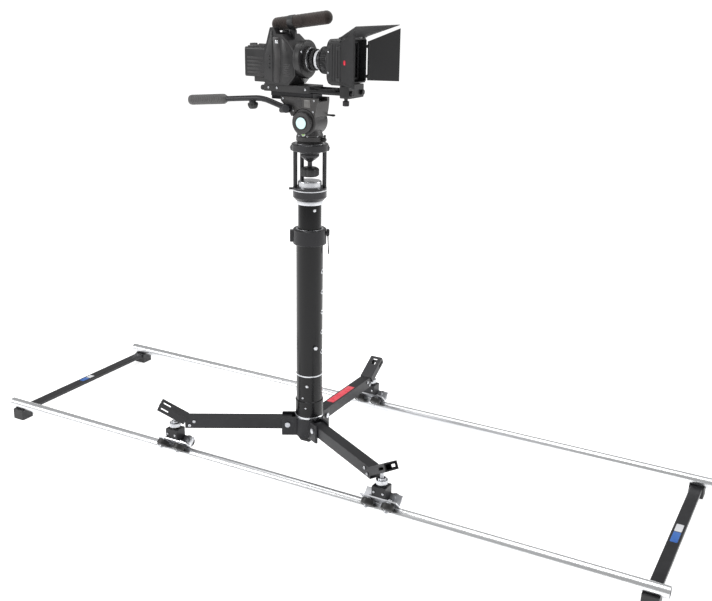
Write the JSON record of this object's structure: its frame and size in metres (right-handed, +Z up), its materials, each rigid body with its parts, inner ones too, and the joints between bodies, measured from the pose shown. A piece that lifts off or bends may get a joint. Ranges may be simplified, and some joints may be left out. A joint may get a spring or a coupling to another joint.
{
  "type": "camera slider",
  "caption": "Straight two-rail track with a wheeled three-leg dolly, telescopic column, levelling bowl, fluid head with handle, and a camera with hooded lens.",
  "frame": {"origin": "on the floor, in the middle of the track", "axes": "+X along the rails, the way the lens looks; +Y across the track to the rail with one bogie; +Z up"},
  "size_m": [2.204, 0.713, 1.3617],
  "materials": {
    "rail": "bright satin drawn tube",
    "feet": "moulded black",
    "black_alloy": "satin black anodised",
    "bright_steel": "turned, bright",
    "frame_alloy": "satin extruded angle",
    "wheel": "smooth dark tread",
    "head": "black crackle and satin",
    "handle": "black arm with a soft dark grey grip",
    "rig_base": "satin black",
    "camera": "fine-grained dark casing",
    "foam": "open-cell foam sleeve",
    "lens": "satin barrel with a ribbed ring",
    "shade": "dead black moulding",
    "flag": "thin dull black sheet"
  },
  "bodies": {
    "track": {"near_rail": "rail", "far_rail": "rail", "rail_feet": "feet", "left_crossbar": "black_alloy", "right_crossbar": "black_alloy"},
    "dolly": {"hub": "black_alloy", "column_flange": "bright_steel", "leg_pins": "bright_steel", "carry_handle": "black_alloy", "column_tube": "black_alloy", "clamp_collar": "black_alloy"},
    "mast": {"mast_tube": "black_alloy", "cage_cup": "black_alloy", "cage_posts": "black_alloy", "bowl_ring": "black_alloy"},
    "head_base": {"head_base": "head"},
    "head_body": {"head_body": "head"},
    "deck": {"tilt_platform": "head"},
    "camera": {"sliding_plate": "head", "rig_base": "rig_base", "camera_body": "camera", "battery": "camera", "microphone": "foam", "lens": "lens", "matte_box": "shade"},
    "clamp_lever": {"clamp_lever": "black_alloy"},
    "index_pin": {"index_pin": "bright_steel"},
    "tie_down_knob": {"tie_down_knob": "head"},
    "pan_lock": {"pan_lock": "head"},
    "drag_dial": {"drag_dial": "head"},
    "tilt_lock": {"tilt_lock": "head"},
    "pan_handle": {"pan_handle": "handle"},
    "focus_ring": {"focus_ring": "lens"},
    "top_flag": {"top_flag": "flag"},
    "near_flag": {"near_flag": "flag"},
    "far_flag": {"far_flag": "flag"},
    "left_leg": {"left_leg": "black_alloy", "left_pivot_block": "black_alloy", "left_wheel_frame": "frame_alloy"},
    "left_levelling_stud": {"left_levelling_stud": "bright_steel"},
    "left_wheel_near_1": {"left_wheel_near_1": "wheel"},
    "left_wheel_near_2": {"left_wheel_near_2": "wheel"},
    "left_wheel_far_1": {"left_wheel_far_1": "wheel"},
    "left_wheel_far_2": {"left_wheel_far_2": "wheel"},
    "right_leg": {"right_leg": "black_alloy", "right_pivot_block": "black_alloy", "right_wheel_frame": "frame_alloy"},
    "right_levelling_stud": {"right_levelling_stud": "bright_steel"},
    "right_wheel_near_1": {"right_wheel_near_1": "wheel"},
    "right_wheel_near_2": {"right_wheel_near_2": "wheel"},
    "right_wheel_far_1": {"right_wheel_far_1": "wheel"},
    "right_wheel_far_2": {"right_wheel_far_2": "wheel"},
    "rear_leg": {"rear_leg": "black_alloy", "rear_pivot_block": "black_alloy", "rear_wheel_frame": "frame_alloy"},
    "rear_levelling_stud": {"rear_levelling_stud": "bright_steel"},
    "rear_wheel_near_1": {"rear_wheel_near_1": "wheel"},
    "rear_wheel_near_2": {"rear_wheel_near_2": "wheel"},
    "rear_wheel_far_1": {"rear_wheel_far_1": "wheel"},
    "rear_wheel_far_2": {"rear_wheel_far_2": "wheel"}
  },
  "joints": [
    {"name": "dolly_roll", "type": "slide", "parent": "track", "child": "dolly", "axis": [1, 0, 0], "range_m": [-0.6, 0.68]},
    {"name": "left_leg_fold", "type": "hinge", "parent": "dolly", "child": "left_leg", "pos_m": [-0.09616, -0.13633, 0.143], "axis": [-0.5, 0.866, 0], "range_deg": [0, 75]},
    {"name": "left_level_screw", "type": "hinge", "parent": "left_leg", "child": "left_levelling_stud", "pos_m": [-0.39696, -0.31, 0.168], "axis": [0, 0, 1], "continuous": true},
    {"name": "left_wheel_near_1_spin", "type": "hinge", "parent": "left_leg", "child": "left_wheel_near_1", "pos_m": [-0.42796, -0.33425, 0.07025], "axis": [0, -0.7071, -0.7071], "continuous": true},
    {"name": "left_wheel_near_2_spin", "type": "hinge", "parent": "left_leg", "child": "left_wheel_near_2", "pos_m": [-0.36596, -0.33425, 0.07025], "axis": [0, -0.7071, -0.7071], "continuous": true},
    {"name": "left_wheel_far_1_spin", "type": "hinge", "parent": "left_leg", "child": "left_wheel_far_1", "pos_m": [-0.42796, -0.28575, 0.07025], "axis": [0, 0.7071, -0.7071], "continuous": true},
    {"name": "left_wheel_far_2_spin", "type": "hinge", "parent": "left_leg", "child": "left_wheel_far_2", "pos_m": [-0.36596, -0.28575, 0.07025], "axis": [0, 0.7071, -0.7071], "continuous": true},
    {"name": "right_leg_fold", "type": "hinge", "parent": "dolly", "child": "right_leg", "pos_m": [0.01816, -0.13633, 0.143], "axis": [-0.5, -0.866, 0], "range_deg": [0, 75]},
    {"name": "right_level_screw", "type": "hinge", "parent": "right_leg", "child": "right_levelling_stud", "pos_m": [0.31896, -0.31, 0.168], "axis": [0, 0, 1], "continuous": true},
    {"name": "right_wheel_near_1_spin", "type": "hinge", "parent": "right_leg", "child": "right_wheel_near_1", "pos_m": [0.28796, -0.33425, 0.07025], "axis": [0, -0.7071, -0.7071], "continuous": true},
    {"name": "right_wheel_near_2_spin", "type": "hinge", "parent": "right_leg", "child": "right_wheel_near_2", "pos_m": [0.34996, -0.33425, 0.07025], "axis": [0, -0.7071, -0.7071], "continuous": true},
    {"name": "right_wheel_far_1_spin", "type": "hinge", "parent": "right_leg", "child": "right_wheel_far_1", "pos_m": [0.28796, -0.28575, 0.07025], "axis": [0, 0.7071, -0.7071], "continuous": true},
    {"name": "right_wheel_far_2_spin", "type": "hinge", "parent": "right_leg", "child": "right_wheel_far_2", "pos_m": [0.34996, -0.28575, 0.07025], "axis": [0, 0.7071, -0.7071], "continuous": true},
    {"name": "rear_leg_fold", "type": "hinge", "parent": "dolly", "child": "rear_leg", "pos_m": [-0.039, -0.03733, 0.143], "axis": [1, 0, 0], "range_deg": [0, 75]},
    {"name": "rear_level_screw", "type": "hinge", "parent": "rear_leg", "child": "rear_levelling_stud", "pos_m": [-0.039, 0.31, 0.168], "axis": [0, 0, 1], "continuous": true},
    {"name": "rear_wheel_near_1_spin", "type": "hinge", "parent": "rear_leg", "child": "rear_wheel_near_1", "pos_m": [-0.07, 0.28575, 0.07025], "axis": [0, -0.7071, -0.7071], "continuous": true},
    {"name": "rear_wheel_near_2_spin", "type": "hinge", "parent": "rear_leg", "child": "rear_wheel_near_2", "pos_m": [-0.008, 0.28575, 0.07025], "axis": [0, -0.7071, -0.7071], "continuous": true},
    {"name": "rear_wheel_far_1_spin", "type": "hinge", "parent": "rear_leg", "child": "rear_wheel_far_1", "pos_m": [-0.07, 0.33425, 0.07025], "axis": [0, 0.7071, -0.7071], "continuous": true},
    {"name": "rear_wheel_far_2_spin", "type": "hinge", "parent": "rear_leg", "child": "rear_wheel_far_2", "pos_m": [-0.008, 0.33425, 0.07025], "axis": [0, 0.7071, -0.7071], "continuous": true},
    {"name": "clamp_lever_turn", "type": "hinge", "parent": "dolly", "child": "clamp_lever", "pos_m": [0.00382, -0.08056, 0.744], "axis": [0.8829, 0.4695, 0], "range_deg": [0, 100]},
    {"name": "index_pin_pull", "type": "slide", "parent": "dolly", "child": "index_pin", "axis": [0.8192, -0.5736, 0], "range_m": [0, 0.055], "stiffness_N_per_m": 150, "springref_m": -0.01},
    {"name": "mast_lift", "type": "slide", "parent": "dolly", "child": "mast", "axis": [0, 0, 1], "range_m": [0, 0.3]},
    {"name": "bowl_level", "type": "hinge", "parent": "mast", "child": "head_base", "pos_m": [-0.039, -0.10333, 1.0035], "axis": [0, 1, 0], "range_deg": [-5, 5]},
    {"name": "tie_down_turn", "type": "hinge", "parent": "head_base", "child": "tie_down_knob", "pos_m": [-0.039, -0.10333, 0.9335], "axis": [0, 0, 1], "continuous": true},
    {"name": "pan_lock_turn", "type": "hinge", "parent": "head_base", "child": "pan_lock", "pos_m": [-0.00002, -0.10197, 1.0145], "axis": [0.9994, 0.0349, 0], "range_deg": [0, 90]},
    {"name": "pan", "type": "hinge", "parent": "head_base", "child": "head_body", "pos_m": [-0.039, -0.10333, 1.022], "axis": [0, 0, 1], "continuous": true},
    {"name": "drag_dial_turn", "type": "hinge", "parent": "head_body", "child": "drag_dial", "pos_m": [-0.039, -0.13933, 1.062], "axis": [0, 1, 0], "continuous": true},
    {"name": "tilt_lock_turn", "type": "hinge", "parent": "head_body", "child": "tilt_lock", "pos_m": [-0.017, -0.06733, 1.078], "axis": [0, 1, 0], "range_deg": [0, 90]},
    {"name": "tilt", "type": "hinge", "parent": "head_body", "child": "deck", "pos_m": [-0.039, -0.10333, 1.062], "axis": [0, 1, 0], "range_deg": [-45, 45]},
    {"name": "balance_slide", "type": "slide", "parent": "deck", "child": "camera", "axis": [1, 0, 0], "range_m": [-0.03, 0.03]},
    {"name": "handle_angle", "type": "hinge", "parent": "deck", "child": "pan_handle", "pos_m": [-0.085, -0.15033, 1.099], "axis": [0, 1, 0], "range_deg": [-45, 10]},
    {"name": "focus_turn", "type": "hinge", "parent": "camera", "child": "focus_ring", "pos_m": [0.02, -0.10333, 1.231], "axis": [1, 0, 0], "range_deg": [-150, 150]},
    {"name": "top_flag_fold", "type": "hinge", "parent": "camera", "child": "top_flag", "pos_m": [0.095, -0.10333, 1.294], "axis": [0, 1, 0], "range_deg": [-40, 18]},
    {"name": "near_flag_fold", "type": "hinge", "parent": "camera", "child": "near_flag", "pos_m": [0.1, -0.18233, 1.231], "axis": [0, 0, 1], "range_deg": [-45, 0]},
    {"name": "far_flag_fold", "type": "hinge", "parent": "camera", "child": "far_flag", "pos_m": [0.1, -0.02433, 1.231], "axis": [0, 0, 1], "range_deg": [-13, 35]}
  ],
  "couplings": [
    {"joint": "left_wheel_near_1_spin", "follows": "dolly_roll", "rad_per_m": -55.556},
    {"joint": "left_wheel_near_2_spin", "follows": "dolly_roll", "rad_per_m": -55.556},
    {"joint": "left_wheel_far_1_spin", "follows": "dolly_roll", "rad_per_m": 55.556},
    {"joint": "left_wheel_far_2_spin", "follows": "dolly_roll", "rad_per_m": 55.556},
    {"joint": "right_wheel_near_1_spin", "follows": "dolly_roll", "rad_per_m": -55.556},
    {"joint": "right_wheel_near_2_spin", "follows": "dolly_roll", "rad_per_m": -55.556},
    {"joint": "right_wheel_far_1_spin", "follows": "dolly_roll", "rad_per_m": 55.556},
    {"joint": "right_wheel_far_2_spin", "follows": "dolly_roll", "rad_per_m": 55.556},
    {"joint": "rear_wheel_near_1_spin", "follows": "dolly_roll", "rad_per_m": -55.556},
    {"joint": "rear_wheel_near_2_spin", "follows": "dolly_roll", "rad_per_m": -55.556},
    {"joint": "rear_wheel_far_1_spin", "follows": "dolly_roll", "rad_per_m": 55.556},
    {"joint": "rear_wheel_far_2_spin", "follows": "dolly_roll", "rad_per_m": 55.556}
  ]
}
